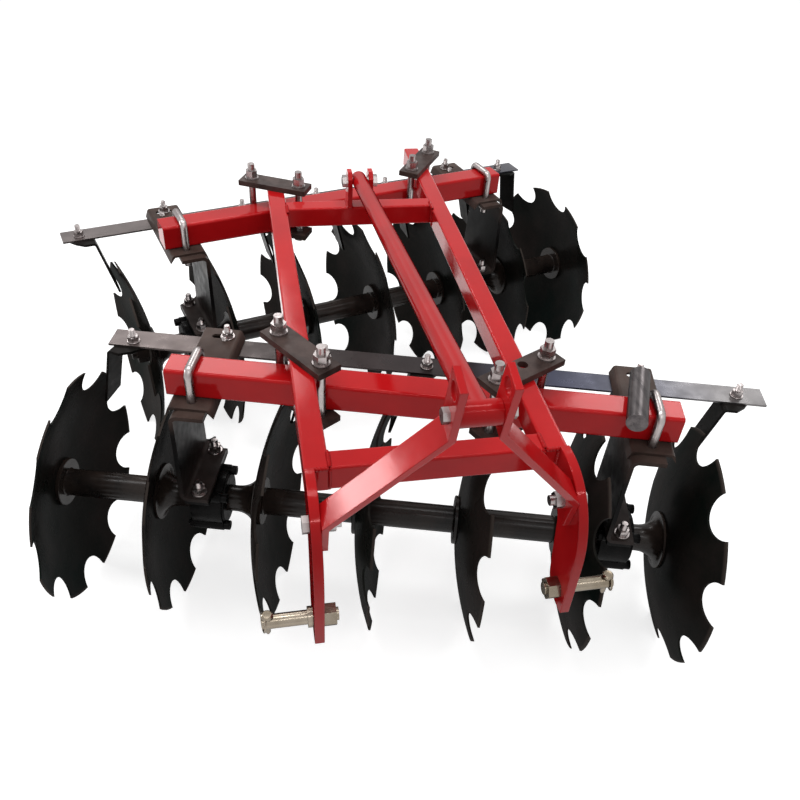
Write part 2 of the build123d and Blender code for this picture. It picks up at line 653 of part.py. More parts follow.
    # Spools: pipe with end flanges, or in the bearings a journal with a bell at each end.
    with BuildPart() as spools:
        for k in range(DISC_COUNT - 1):
            u0 = FIRST_RIM - DISC_DISH + k * DISC_PITCH
            u1 = u0 + DISC_PITCH - DISC_T
            with BuildSketch(Plane(place * Location((0, 0, AXLE_Z), (90, 0, 0)))):
                with BuildLine():
                    if k in BEARING_GAPS:
                        b1 = Line((dish * u0, SPOOL_BORE_R), (dish * u0, BELL_R))
                        b2 = Line(b1 @ 1, (dish * (u0 + BELL_LIP), BELL_R))
                        b3 = TangentArc(
                            (dish * (u0 + BELL_L), NECK_R), b2 @ 1, tangent=(-dish, 0)
                        )
                        b4 = Line(b3 @ 0, (dish * (u1 - BELL_L), NECK_R))
                        b5 = TangentArc(b4 @ 1, (dish * (u1 - BELL_LIP), BELL_R), tangent=(dish, 0))
                        b6 = Line(b5 @ 1, (dish * u1, BELL_R))
                        b7 = Line(b6 @ 1, (dish * u1, SPOOL_BORE_R))
                        b8 = Line(b7 @ 1, b1 @ 0)
                    else:
                        Polyline(
                            (dish * u0, SPOOL_BORE_R),
                            (dish * u0, FLANGE_R),
                            (dish * (u0 + FLANGE_T), FLANGE_R),
                            (dish * (u0 + FLANGE_T), SPOOL_R),
                            (dish * (u1 - FLANGE_T), SPOOL_R),
                            (dish * (u1 - FLANGE_T), FLANGE_R),
                            (dish * u1, FLANGE_R),
                            (dish * u1, SPOOL_BORE_R),
                            close=True,
                        )
                make_face()
            revolve(axis=Axis((place * Location((0, 0, AXLE_Z))).position, gang_plane.x_dir))
    spools.part.label = f"spools_{gang}"
    export_step(spools.part, f"parts/spools_{gang}.step")

    # Square axle with round end plates and hexagon nuts.
    with BuildPart() as axle:
        first = FIRST_RIM - DISC_DISH - DISC_T
        last = first + (DISC_COUNT - 1) * DISC_PITCH + DISC_T
        spot = place * Location((dish * (first + last) / 2, 0, AXLE_Z), (0, 90, 0))
        with Locations(spot):
            Box(AXLE_SQ, AXLE_SQ, last - first)
        for near, far, r in (
            (first, first - 14, 44.0),
            (last, last + 14, 44.0),
            (last + 40, last + 52, 13.0),
        ):
            with Locations(place * Location((dish * (near + far) / 2, 0, AXLE_Z), (0, 90, 0))):
                Cylinder(r, abs(far - near))
        for near, far in ((first - 38, first - 14), (last + 14, last + 40)):
            face = Plane(
                origin=(place * Location((dish * (near + far) / 2, 0, AXLE_Z))).position,
                x_dir=gang_plane.y_dir,
                z_dir=gang_plane.x_dir,
            )
            with BuildSketch(face):
                RegularPolygon(22.0, 6, major_radius=False)
            extrude(amount=(far - near) / 2, both=True)
    axle.part.label = f"axle_{gang}"
    export_step(axle.part, f"parts/axle_{gang}.step")

# Plain steel bar lying across the front gang beam beside the right-hand hanger.
with BuildPart() as steel_bar:
    front_plane = Plane(
        origin=(MID_X, FRONT_Y, 0),
        x_dir=(cos(radians(FRONT_ANGLE)), sin(radians(FRONT_ANGLE)), 0),
        z_dir=(0, 0, 1),
    )
    steel_place = front_plane.location * Location((395, -1, GANG_TOP + 18.0), (0, 0, -11))
    with Locations(steel_place * Location((0, 0, 0), (90, 0, 0))):
        Cylinder(18.0, 138.0)
steel_bar.part.label = "steel_bar"
export_step(steel_bar.part, "parts/steel_bar.step")
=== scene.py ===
import math

import bmesh
import bpy
from mathutils import Matrix, Vector


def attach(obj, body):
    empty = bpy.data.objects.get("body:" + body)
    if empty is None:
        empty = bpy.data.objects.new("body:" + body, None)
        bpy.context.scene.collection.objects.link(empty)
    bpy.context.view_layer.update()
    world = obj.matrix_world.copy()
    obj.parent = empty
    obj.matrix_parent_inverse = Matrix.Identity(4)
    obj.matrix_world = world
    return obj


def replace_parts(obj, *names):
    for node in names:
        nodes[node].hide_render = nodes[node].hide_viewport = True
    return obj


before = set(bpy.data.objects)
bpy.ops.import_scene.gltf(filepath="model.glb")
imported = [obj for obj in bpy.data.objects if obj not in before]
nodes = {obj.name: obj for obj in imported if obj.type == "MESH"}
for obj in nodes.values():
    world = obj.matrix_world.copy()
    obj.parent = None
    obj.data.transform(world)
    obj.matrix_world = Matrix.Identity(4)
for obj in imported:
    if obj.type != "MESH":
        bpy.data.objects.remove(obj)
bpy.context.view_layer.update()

# ---------------------------------------------------------------- painted frame
# The frame is square and flat steel tube: two long beams on two gang beams, tied by two
# cross tubes, with the mast, its stay and the hitch plates. All of it is welded, then
# sprayed with red gloss enamel that runs into the corners and has a faint orange peel.
RED_PARTS = (
    "long_beam_left", "long_beam_right", "gang_beam_front", "gang_beam_rear",
    "cross_tube_front", "cross_tube_rear", "hitch_plate_left", "hitch_plate_right",
    "mast_plate_left", "mast_plate_right", "mast_stay", "stay_lugs",
)
RED_THIN = (0.42, 0.007, 0.009)
RED_FULL = (0.51, 0.009, 0.011)
RED_SHINE = (1.0, 0.42, 0.42, 1)
RED_ROUGH = (0.06, 0.14)
RED_PEEL = (260.0, 0.00004)
RED_EDGE = 0.0022
MOTTLE_STOPS = (0.35, 0.65)
NOISE_LOW, NOISE_HIGH = 0.3, 0.7
UNEVEN_FINER = 3.3
EDGE_SAMPLES = 4
RAGGED_SCALE = 6.0
RAGGED_BY = 0.05
# A Mix node has sockets for each kind of data, and these are the ones for colours.
MIX_FACTOR, MIX_UNDER, MIX_OVER, MIX_RESULT = 0, 6, 7, 2


def link(material, from_node, output, to_node, value):
    material.node_tree.links.new(from_node.outputs[output], to_node.inputs[value])


def put(material, kind, **values):
    made = material.node_tree.nodes.new("ShaderNode" + kind)
    for name, value in values.items():
        made.inputs[name.replace("_", " ")].default_value = value
    return made


def finish(
    name, colours, grain, rough, metal=0.0, gloss=0.5, peel=(500.0, 0.00003), edge=0.0,
    stretch=(1, 1, 1),
):
    """A steel finish: mottled between two colours, with uneven roughness, a fine
    surface relief and a softened edge. Peel is the relief's scale and depth."""
    made = bpy.data.materials.new(name)
    made.use_nodes = True
    shader = made.node_tree.nodes["Principled BSDF"]
    shader.inputs["Metallic"].default_value = metal
    shader.inputs["Specular IOR Level"].default_value = gloss
    place = put(made, "TexCoord")
    place.name = "place"
    scaled = put(made, "Mapping", Scale=stretch)
    link(made, place, "Object", scaled, "Vector")
    mottle = put(made, "TexNoise", Scale=grain, Detail=5.0, Roughness=0.6)
    ramp = put(made, "ValToRGB")
    for stop, position, colour in zip(ramp.color_ramp.elements, MOTTLE_STOPS, colours):
        stop.position = position
        stop.color = (*colour, 1)
    uneven = put(made, "TexNoise", Scale=grain * UNEVEN_FINER, Detail=4.0)
    spread = put(
        made, "MapRange", From_Min=NOISE_LOW, From_Max=NOISE_HIGH,
        To_Min=rough[0], To_Max=rough[1],
    )
    relief = put(made, "TexNoise", Scale=peel[0], Detail=3.0)
    bump = put(made, "Bump", Strength=1.0, Distance=peel[1])
    for texture in (mottle, uneven, relief):
        link(made, scaled, "Vector", texture, "Vector")
    link(made, mottle, "Fac", ramp, "Fac")
    link(made, ramp, "Color", shader, "Base Color")
    link(made, uneven, "Fac", spread, "Value")
    link(made, spread, "Result", shader, "Roughness")
    link(made, relief, "Fac", bump, "Height")
    link(made, bump, "Normal", shader, "Normal")
    if edge:
        soft = put(made, "Bevel", Radius=edge)
        soft.samples = EDGE_SAMPLES
        link(made, soft, "Normal", bump, "Normal")
    return made


def over_colour(material, mode):
    """A mix laid over a material's base colour, with its factor and top still open."""
    tree = material.node_tree
    base = tree.nodes["Principled BSDF"].inputs["Base Color"]
    mixed = put(material, "Mix")
    mixed.data_type = "RGBA"
    mixed.blend_type = mode
    tree.links.new(base.links[0].from_socket, mixed.inputs[MIX_UNDER])
    tree.links.new(mixed.outputs[MIX_RESULT], base)
    return mixed


def shaded(material, axis, stops):
    """Paints light and shade along one axis: multiplies the mottle by a slow change of
    colour, with a ragged border between the stops. A stop is its place in metres and its colour."""
    place = material.node_tree.nodes["place"]
    drift = put(material, "TexNoise", Scale=RAGGED_SCALE, Detail=3.0)
    shift = put(material, "MapRange", To_Min=-RAGGED_BY, To_Max=RAGGED_BY)
    parts = put(material, "SeparateXYZ")
    moved = put(material, "Math")
    low, high = stops[0][0], stops[-1][0]
    spread = put(material, "MapRange", From_Min=low, From_Max=high)
    ramp = put(material, "ValToRGB")
    while len(ramp.color_ramp.elements) < len(stops):
        ramp.color_ramp.elements.new(0.5)
    for mark, (at, colour) in zip(ramp.color_ramp.elements, stops):
        mark.position = (at - low) / (high - low)
        mark.color = (*colour, 1)
    mixed = over_colour(material, "MULTIPLY")
    mixed.inputs[MIX_FACTOR].default_value = 1.0
    link(material, place, "Object", parts, "Vector")
    link(material, place, "Object", drift, "Vector")
    link(material, drift, "Fac", shift, "Value")
    link(material, parts, axis, moved, 0)
    link(material, shift, "Result", moved, 1)
    link(material, moved, 0, spread, "Value")
    link(material, spread, "Result", ramp, "Fac")
    link(material, ramp, "Color", mixed, MIX_OVER)


def wear(names, material):
    """Gives CAD nodes a material in place of the one they came with."""
    for name in names:
        nodes[name].data.materials.clear()
        nodes[name].data.materials.append(material)


red = finish(
    "red enamel", (RED_THIN, RED_FULL), 7.0, RED_ROUGH, gloss=0.28, peel=RED_PEEL, edge=RED_EDGE,
)
red.node_tree.nodes["Principled BSDF"].inputs["Specular Tint"].default_value = RED_SHINE
wear(RED_PARTS, red)

# ---------------------------------------------------------------- welds
# Fillet welds laid by hand where tubes, lugs and plates meet: a rippled bead of about
# 5 mm on each joint, painted over with the frame.
TUBE_TOP = 0.608
TUBE_LOW = 0.563
TUBE_INNER = 0.164
TUBE_END = -0.6139
CROSS_TUBES = ((TUBE_END, -0.5759), (0.1881, 0.2281))  # the near and far wall of each
HITCH_INNER = 0.1865
END_SEAM = (0.166, 0.200)  # across the beam's end, over the hitch plate
LUG_FACES = (0.018, 0.028)
LUG_ENDS = (0.2075, 0.2485)
WELD_R = 0.0034
WELD_SMALL = WELD_R * 0.8
WELD_SIDES = 8
WELD_TIP = 0.6
CORNER = 0.002  # how far a bead stays from the corner of a tube
LUG_CORNER = 0.0015
RIPPLE = 0.0026
RIPPLE_SWELL = 0.16
LEAST_RIPPLES = 4
MERGE = 0.000002


def bead(mesh, start, end, radius=WELD_R):
    """A weld drawn on from start to end, one ripple at a time."""
    run = Vector(end) - Vector(start)
    count = max(LEAST_RIPPLES, int(run.length / RIPPLE))
    ring = bmesh.ops.create_circle(
        mesh, cap_ends=True, segments=WELD_SIDES, radius=radius * WELD_TIP,
    )["verts"]
    turn = run.to_track_quat("Z", "Y").to_matrix().to_4x4()
    bmesh.ops.transform(mesh, matrix=Matrix.Translation(start) @ turn, verts=ring)
    face = ring[0].link_faces[0]
    for step in range(count):
        grown = bmesh.ops.extrude_face_region(mesh, geom=[face])["geom"]
        if face.is_valid:
            bmesh.ops.delete(mesh, geom=[face], context="FACES_ONLY")
        verts = [item for item in grown if isinstance(item, bmesh.types.BMVert)]
        face = next(item for item in grown if isinstance(item, bmesh.types.BMFace))
        bmesh.ops.translate(mesh, vec=run / count, verts=verts)
        swell = WELD_TIP if step == count - 1 else 1.0 + RIPPLE_SWELL * (-1) ** step
        middle = face.calc_center_median()
        factor = swell * radius / (verts[0].co - middle).length
        bmesh.ops.scale(mesh, vec=(factor,) * 3, space=Matrix.Translation(-middle), verts=verts)


def piece(name, mesh, material, body="frame", angle=35.0):
    """A finished piece at the origin, with its place in its mesh. Edges that turn by
    more than the angle stay sharp, and the offsets keep shadows smooth on round walls."""
    bmesh.ops.remove_doubles(mesh, verts=mesh.verts, dist=MERGE)
    bmesh.ops.recalc_face_normals(mesh, faces=mesh.faces)
    data = bpy.data.meshes.new(name)
    mesh.to_mesh(data)
    mesh.free()
    if "custom_normal" in data.attributes:
        data.attributes.remove(data.attributes["custom_normal"])
    data.shade_smooth()
    data.set_sharp_from_angle(angle=math.radians(angle))
    data.materials.append(material)
    made = bpy.data.objects.new(name, data)
    made.shadow_terminator_geometry_offset = 0.4
    made.shadow_terminator_shading_offset = 0.2
    bpy.context.scene.collection.objects.link(made)
    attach(made, body)
    return made


def rounded(node, material, body="frame", angle=32.0):
    """A CAD node again, with its doubles merged so that its round walls shade round."""
    mesh = bmesh.new()
    mesh.from_mesh(nodes[node].data)
    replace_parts(piece(node + "_smooth", mesh, material, body, angle), node)


rounded("mast_stay", red)

mesh = bmesh.new()
for side in (-1, 1):
    joint = side * TUBE_INNER
    for near, far in CROSS_TUBES:
        bead(mesh, (joint, near + CORNER, TUBE_TOP), (joint, far - CORNER / 2, TUBE_TOP))
        high, low = TUBE_TOP - CORNER, TUBE_LOW + CORNER
        bead(mesh, (joint, far, high), (joint, far, low))
        bead(mesh, (joint, near, high), (joint, near, low), WELD_SMALL)
    # The hitch plate: across the top of the beam's end, then down the plate's inner face.
    height = TUBE_TOP - CORNER / 2
    bead(mesh, (side * END_SEAM[0], TUBE_END, height), (side * END_SEAM[1], TUBE_END, height))
    inner, end = side * HITCH_INNER, TUBE_END - 0.001
    bead(mesh, (inner, end, TUBE_TOP - 2 * CORNER), (inner, end, TUBE_LOW))
    # The stay lug: along both faces, then across both ends.
    near, far = LUG_ENDS[0] + LUG_CORNER, LUG_ENDS[1] - LUG_CORNER
    for face in LUG_FACES:
        bead(mesh, (side * face, near, TUBE_TOP), (side * face, far, TUBE_TOP), WELD_SMALL)
    inner, outer = side * (LUG_FACES[0] + 0.001), side * (LUG_FACES[1] - 0.001)
    for end in LUG_ENDS:
        bead(mesh, (inner, end, TUBE_TOP), (outer, end, TUBE_TOP), WELD_SMALL)
piece("welds", mesh, red)

# ---------------------------------------------------------------- hitch plates
# Flat plates of 15 mm steel cut with a torch, welded to the ends of the long beams. They
# run forward and curve down to the lower pins, with the cut edges dressed by hand.
HITCH_THICK = 0.015
HITCH_EDGE = 0.0011
RIM_TURN = 1.4
HITCH_OUTLINE = (
    # y and z, then how much the corner is rounded
    (TUBE_END, 0.564, 0), (TUBE_END, 0.613, 0.0015), (-0.6429, 0.614, 0.01),
    (-0.6669, 0.6098, 0.009), (-0.6889, 0.6, 0.009), (-0.7085, 0.585, 0.009),
    (-0.7235, 0.566, 0.009), (-0.7350, 0.543, 0.01), (-0.7420, 0.518, 0.01),
    (-0.7455, 0.49, 0.012), (-0.7469, 0.372, 0.003), (-0.7189, 0.3702, 0.006),
    (-0.6842, 0.389, 0.012), (-0.6772, 0.419, 0.01), (-0.6612, 0.509, 0.012),
)

for side, name in ((-1, "hitch_plate_left"), (1, "hitch_plate_right")):
    mesh = bmesh.new()
    corners = [mesh.verts.new((side * HITCH_INNER, y, z)) for y, z, _ in HITCH_OUTLINE]
    mesh.faces.new(corners)
    for vert, (_, _, round_off) in zip(corners, HITCH_OUTLINE):
        if round_off:
            bmesh.ops.bevel(
                mesh, geom=[vert], affect="VERTICES", offset=round_off, segments=4,
                profile=0.5, material=-1, clamp_overlap=False,
            )
    grown = bmesh.ops.extrude_face_region(mesh, geom=mesh.faces[:])["geom"]
    outer = [item for item in grown if isinstance(item, bmesh.types.BMVert)]
    bmesh.ops.translate(mesh, vec=(side * HITCH_THICK, 0, 0), verts=outer)
    bmesh.ops.recalc_face_normals(mesh, faces=mesh.faces)
    rim = [
        edge for edge in mesh.edges
        if edge.is_manifold and edge.calc_face_angle() > RIM_TURN
        and abs(edge.verts[0].co.x - edge.verts[1].co.x) < HITCH_THICK / 2
    ]
    bmesh.ops.bevel(
        mesh, geom=rim, affect="EDGES", offset=HITCH_EDGE, segments=2, profile=0.5, material=-1,
    )
    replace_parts(piece(name + "_cut", mesh, red, angle=12), name)

# ---------------------------------------------------------------- clamps and their studs
# Each crossing of long and gang beam is held by two flat bars of black hot rolled steel,
# a turned plate above and one below, drawn together by two zinc plated studs with nuts.
CLAMP_PARTS = ("clamp_top_front", "clamp_top_rear", "clamp_bottom_front", "clamp_bottom_rear")
ZINC_PARTS = ("clamp_bolts_front", "clamp_bolts_rear", "mast_bolts")

scale_black = finish(
    "mill scale", ((0.024, 0.014, 0.012), (0.075, 0.050, 0.044)), 22.0, (0.28, 0.5),
    gloss=0.14, peel=(420.0, 0.00008), edge=0.0008,
)
wear(CLAMP_PARTS, scale_black)
zinc = finish(
    "bright zinc", ((0.38, 0.34, 0.335), (0.50, 0.455, 0.445)), 25.0, (0.24, 0.36),
    metal=1.0, peel=(900.0, 0.00002),
)
for node in ZINC_PARTS:
    rounded(node, zinc)

# ---------------------------------------------------------------- hangers and channels
# A pressed channel lies under each end of the gang beam and carries the hanger, a folded
# plate whose foot sits on the bearing. A bent rod over the beam pulls them up, with a
# washer and a nut on each leg under the plate. Black steel, left with its scale, with
# painted shade darkening the web under the channel.
GANGS = {
    # name: y of the beam at mid-width, turn in degrees, side the dish faces
    "front": (-0.3799, -15.0, 1),
    "rear": (0.3777, 16.0, -1),
}
CHANNELS = {"front": (-0.377, 0.431), "rear": (-0.377, 0.419)}
ROD_V = 0.036
PLATE_LOW = 0.495
ROD_WASHER = (0.0155, 0.0078, 0.003)  # radius, hole, thickness
ROD_NUT = (0.024, 0.013)  # across the flats, height
ROD_NUT_TURN = 17
WASHER_LIP = 0.0004
NUT_CHAMFER = 30
CHAMFER_FROM = 0.97  # of half the width across the flats
CAP_INSET = 1.6
EDGE_CUTS = 5
THREAD_DEEP = 0.0009
TIP_L = 0.0015
TIP_CHAMFER = 0.0013
TIP_EASE = 0.0002
STUD_STEPS = 20

hanger_scale_and_shade = finish(
    "hanger scale and painted shade", ((0.55, 0.55, 0.55), (1.0, 1.0, 1.0)), 14.0, (0.28, 0.45),
    gloss=0.05, peel=(350.0, 0.00009), edge=0.0012,
)
# Painted shade: the web between the channel and the foot is near black, while the channel above and
# the foot below stay a lighter brown.
shaded(hanger_scale_and_shade, "Z", (
    (0.25, (0.10, 0.075, 0.07)), (0.33, (0.03, 0.024, 0.022)), (0.37, (0.006, 0.006, 0.006)),
    (0.45, (0.007, 0.006, 0.006)), (0.50, (0.075, 0.05, 0.042)), (0.56, (0.13, 0.10, 0.09)),
))
wear(("hangers_front", "hangers_rear"), hanger_scale_and_shade)


def turned(degrees):
    return Matrix.Rotation(math.radians(degrees), 4, "Z")


def raised(height):
    return Matrix.Translation((0, 0, height))


def on_gang(gang, along, across, height):
    """Place along and across a gang from the middle of its beam, upright."""
    y, turn, dish = GANGS[gang]
    middle = Matrix.Translation((0, y, 0)) @ turned(turn)
    return middle @ Matrix.Translation((dish * along, across, height))


def spun(mesh, geom, steps):
    """Takes a profile all the way round the z axis."""
    bmesh.ops.spin(
        mesh, geom=geom, cent=(0, 0, 0), axis=(0, 0, 1), dvec=(0, 0, 0), angle=math.tau,
        steps=steps, use_merge=True,
    )


def lathe(profile, steps=28):
    """A round piece about its own z from (radius, height) points."""
    mesh = bmesh.new()
    verts = [mesh.verts.new((radius, 0, height)) for radius, height in profile]
    edges = [mesh.edges.new(pair) for pair in zip(verts, verts[1:])]
    spun(mesh, verts + edges, steps)
    bmesh.ops.remove_doubles(mesh, verts=mesh.verts, dist=MERGE)
    return mesh


def washer(radius, bore, thick):
    return lathe((
        (bore, 0), (radius - WASHER_LIP, 0), (radius, WASHER_LIP), (radius, thick - WASHER_LIP),
        (radius - WASHER_LIP, thick), (bore, thick), (bore, 0),
    ))


def hex_nut(flats, height):
    """A hexagon with its corners turned off at 30 degrees."""
    mesh = bmesh.new()
    corner = flats / math.sqrt(3)
    bmesh.ops.create_cone(
        mesh, cap_ends=True, segments=6, radius1=corner, radius2=corner, depth=height,
    )
    bmesh.ops.translate(mesh, vec=(0, 0, height / 2), verts=mesh.verts)
    rims = [edge for edge in mesh.edges if edge.verts[0].co.z == edge.verts[1].co.z]
    bmesh.ops.subdivide_edges(mesh, edges=rims, cuts=EDGE_CUTS)
    caps = [face for face in mesh.faces if abs(face.normal.z) > 0.9]
    bmesh.ops.inset_individual(mesh, faces=caps, thickness=(corner - flats / 2) * CAP_INSET)
    for vert in mesh.verts:
        over = vert.co.xy.length - flats / 2 * CHAMFER_FROM
        if over > 0:
            down = 1 if vert.co.z > height / 2 else -1
            vert.co.z -= down * over * math.tan(math.radians(NUT_CHAMFER))
    return mesh


def stud(radius, length, pitch=0.00175):
    """A threaded rod end with a turned tip, from z 0 up."""
    profile = [(0, 0), (radius, 0)]
    turns = int((length - TIP_L) / pitch)
    for ridge in range(turns):
        crest, root = (ridge + 0.2) * pitch, (ridge + 0.7) * pitch
        profile += [(radius, crest), (radius - THREAD_DEEP, root)]
    profile += [
        (radius - TIP_EASE, turns * pitch + TIP_EASE), (radius - TIP_CHAMFER, length - TIP_EASE),
        (0, length),
    ]
    return lathe(profile, STUD_STEPS)


def add(mesh, part, place):
    """Joins a made part to a mesh, at its place."""
    part.transform(place)
    spare = bpy.data.meshes.new("spare")
    part.to_mesh(spare)
    part.free()
    mesh.from_mesh(spare)
    bpy.data.meshes.remove(spare)


for gang, places in CHANNELS.items():
    rounded("u_bolts_" + gang, zinc, angle=50)
    mesh = bmesh.new()
    for number, along in enumerate(places):
        for across in (-ROD_V, ROD_V):
            spot = on_gang(gang, along, across, PLATE_LOW - ROD_WASHER[2])
            add(mesh, washer(*ROD_WASHER), spot)
            add(mesh, hex_nut(*ROD_NUT), spot @ raised(-ROD_NUT[1]) @ turned(ROD_NUT_TURN * number))
    piece("rod_nuts_" + gang, mesh, zinc)

# ---------------------------------------------------------------- scraper bars
# A flat steel bar along the back of each gang carries a folded steel scraper for each
# disc. Zinc plated bolts with a washer and nut on top hold the scrapers, and others
# clamp the bar in the slots of the channels.
BAR_TOP = 0.4885
BAR_LOW = 0.4845
TAB_LOW = 0.479
CHANNEL_FACE = 0.508
SLOT_V = 0.164
SLOT_BOLTS = {"front": (-0.362, 0.437), "rear": (-0.365, 0.421)}
SCRAPER_BOLTS = {
    # gang: distance along from the middle for each disc, then across
    "front": [
        (-0.5464, 0.1485), (-0.366, 0.155), (-0.17, 0.155), (0.03, 0.155),
        (0.23, 0.155), (0.43, 0.155), (0.63, 0.155),
    ],
    "rear": [
        (-0.531, 0.148), (-0.37, 0.147), (-0.17, 0.147), (0.03, 0.147),
        (0.23, 0.147), (0.43, 0.147), (0.626, 0.147),
    ],
}
SCRAPER_WASHER = (0.0125, 0.006, 0.0025)
SLOT_WASHER = (0.014, 0.006, 0.003)
BAR_NUT = (0.019, 0.0105)
BAR_HEAD = (0.019, 0.0075)
BAR_THREAD_R = 0.006
SCRAPER_THREAD_L = 0.0385
SLOT_THREAD_L = 0.052
THREAD_BELOW = 0.001
SCRAPER_TURNS = (11, 23)  # degrees of the first nut, then of each one further on
SLOT_TURNS = (8, 31)

bar_steel_painted_reflection = finish(
    "flat bar with painted reflection", ((0.62, 0.62, 0.62), (0.95, 0.95, 0.95)), 9.0, (0.24, 0.4),
    metal=0.8, peel=(380.0, 0.00005), edge=0.0006,
)
# Painted reflection: along the bar the colour runs from light grey at the left end through dark
# brown and blue-grey to light grey at the right end.
shaded(bar_steel_painted_reflection, "X", (
    (-0.62, (0.20, 0.17, 0.165)), (-0.40, (0.12, 0.095, 0.09)), (-0.26, (0.05, 0.038, 0.036)),
    (0.1, (0.045, 0.036, 0.037)), (0.3, (0.035, 0.038, 0.065)), (0.5, (0.08, 0.08, 0.10)),
    (0.64, (0.20, 0.19, 0.19)),
))
wear(("scraper_bar_front", "scraper_bar_rear"), bar_steel_painted_reflection)
wear(("scrapers_front", "scrapers_rear"), finish(
    "scraper scale", ((0.004, 0.0045, 0.004), (0.016, 0.013, 0.012)), 16.0, (0.25, 0.45),
    gloss=0.03, peel=(380.0, 0.00007), edge=0.0008,
))


def own_turn(turns, number):
    """How far one nut in a row is turned, as no two come tight at the same angle."""
    first, more = turns
    return turned(first + more * number)


def bar_bolt(mesh, spot, low, top, ring, length):
    """A bolt up through the steel between two heights, with a washer and nut on top."""
    add(mesh, washer(*ring), spot @ raised(top))
    add(mesh, hex_nut(*BAR_NUT), spot @ raised(top + ring[2]))
    add(mesh, hex_nut(*BAR_HEAD), spot @ raised(low - BAR_HEAD[1]))
    add(mesh, stud(BAR_THREAD_R, length), spot @ raised(low - THREAD_BELOW))


for gang, bolts in SCRAPER_BOLTS.items():
    mesh = bmesh.new()
    for number, (along, across) in enumerate(bolts):
        spot = on_gang(gang, along, across, 0) @ own_turn(SCRAPER_TURNS, number)
        bar_bolt(mesh, spot, TAB_LOW, BAR_TOP, SCRAPER_WASHER, SCRAPER_THREAD_L)
    for number, along in enumerate(SLOT_BOLTS[gang]):
        spot = on_gang(gang, along, SLOT_V, 0) @ own_turn(SLOT_TURNS, number)
        bar_bolt(mesh, spot, BAR_LOW, CHANNEL_FACE, SLOT_WASHER, SLOT_THREAD_L)
    piece("bar_bolts_" + gang, mesh, zinc)

# ---------------------------------------------------------------- bearings
# Round cast iron housings in black, each closed by a cover that four long cap screws
# hold. Two zinc plated studs in its pad come up through the foot of the hanger.
BEARINGS = {"front": (-0.377, 0.423), "rear": (-0.379, 0.411)}
AXLE_Z = 0.23
FOOT_TOP = 0.304
FOOT_BOLT_V = (-0.062, 0.055)
FOOT_WASHER = (0.0145, 0.007, 0.0028)
FOOT_NUT = (0.0215, 0.0125)
FOOT_THREAD = (0.007, 0.041, 0.002)  # radius, length, pitch
FOOT_THREAD_SUNK = 0.012
FOOT_TURNS = (19, 14)
SCREW_REACH = 0.055
SCREW_HEAD = (
    # radius and distance from the middle of the housing, with a hollow for the key
    (0, 0.033), (0.0095, 0.033), (0.0095, 0.0445), (0.0088, 0.0455),
    (0.0052, 0.0455), (0.0048, 0.0405), (0, 0.0405),
)
SCREW_NUT = (0.018, 0.008)
SCREW_NUT_AT = -0.035
SCREW_THREAD = (0.0055, 0.012)
SCREW_THREAD_AT = -0.027

cast = finish(
    "cast black", ((0.004, 0.004, 0.004), (0.013, 0.012, 0.012)), 40.0, (0.2, 0.4),
    gloss=0.06, peel=(260.0, 0.0002), edge=0.0015,
)


def along_axle(gang):
    """Turns what stands up so that it lies on the axle's line, towards the dish."""
    return Matrix.Rotation(GANGS[gang][2] * math.pi / 2, 4, "Y")


for gang, places in BEARINGS.items():
    rounded("bearing_housings_" + gang, cast)
    studs = bmesh.new()
    screws = bmesh.new()
    for number, along in enumerate(places):
        for across in FOOT_BOLT_V:
            spot = on_gang(gang, along, across, FOOT_TOP) @ own_turn(FOOT_TURNS, number)
            add(studs, washer(*FOOT_WASHER), spot)
            add(studs, hex_nut(*FOOT_NUT), spot @ raised(FOOT_WASHER[2]))
            add(studs, stud(*FOOT_THREAD), spot @ raised(-FOOT_THREAD_SUNK))
        for quarter in range(4):
            angle = math.radians(45 + 90 * quarter)
            across = SCREW_REACH * math.cos(angle)
            height = AXLE_Z + SCREW_REACH * math.sin(angle)
            spot = on_gang(gang, along, across, height) @ along_axle(gang)
            add(screws, lathe(SCREW_HEAD), spot)
            add(screws, hex_nut(*SCREW_NUT), spot @ raised(SCREW_NUT_AT))
            back = raised(SCREW_THREAD_AT) @ Matrix.Rotation(math.pi, 4, "X")
            add(screws, stud(*SCREW_THREAD), spot @ back)
    piece("foot_bolts_" + gang, studs, zinc)
    piece("cover_screws_" + gang, screws, cast)

# ---------------------------------------------------------------- discs
# Notched dished discs, pressed from 4 mm spring steel and sprayed gloss black. The black
# is mottled at random in faint brown and green clouds, the lighter ones painted reflection
# of the pale floor, and the rim is ground to a brownish edge, painted lighter as a highlight.
DISC_R = 0.230
EDGE_STEEL_AND_HIGHLIGHT = (0.050, 0.041, 0.036, 1)
EDGE_FROM = DISC_R - 0.0055
EDGE_FULL = DISC_R - 0.002

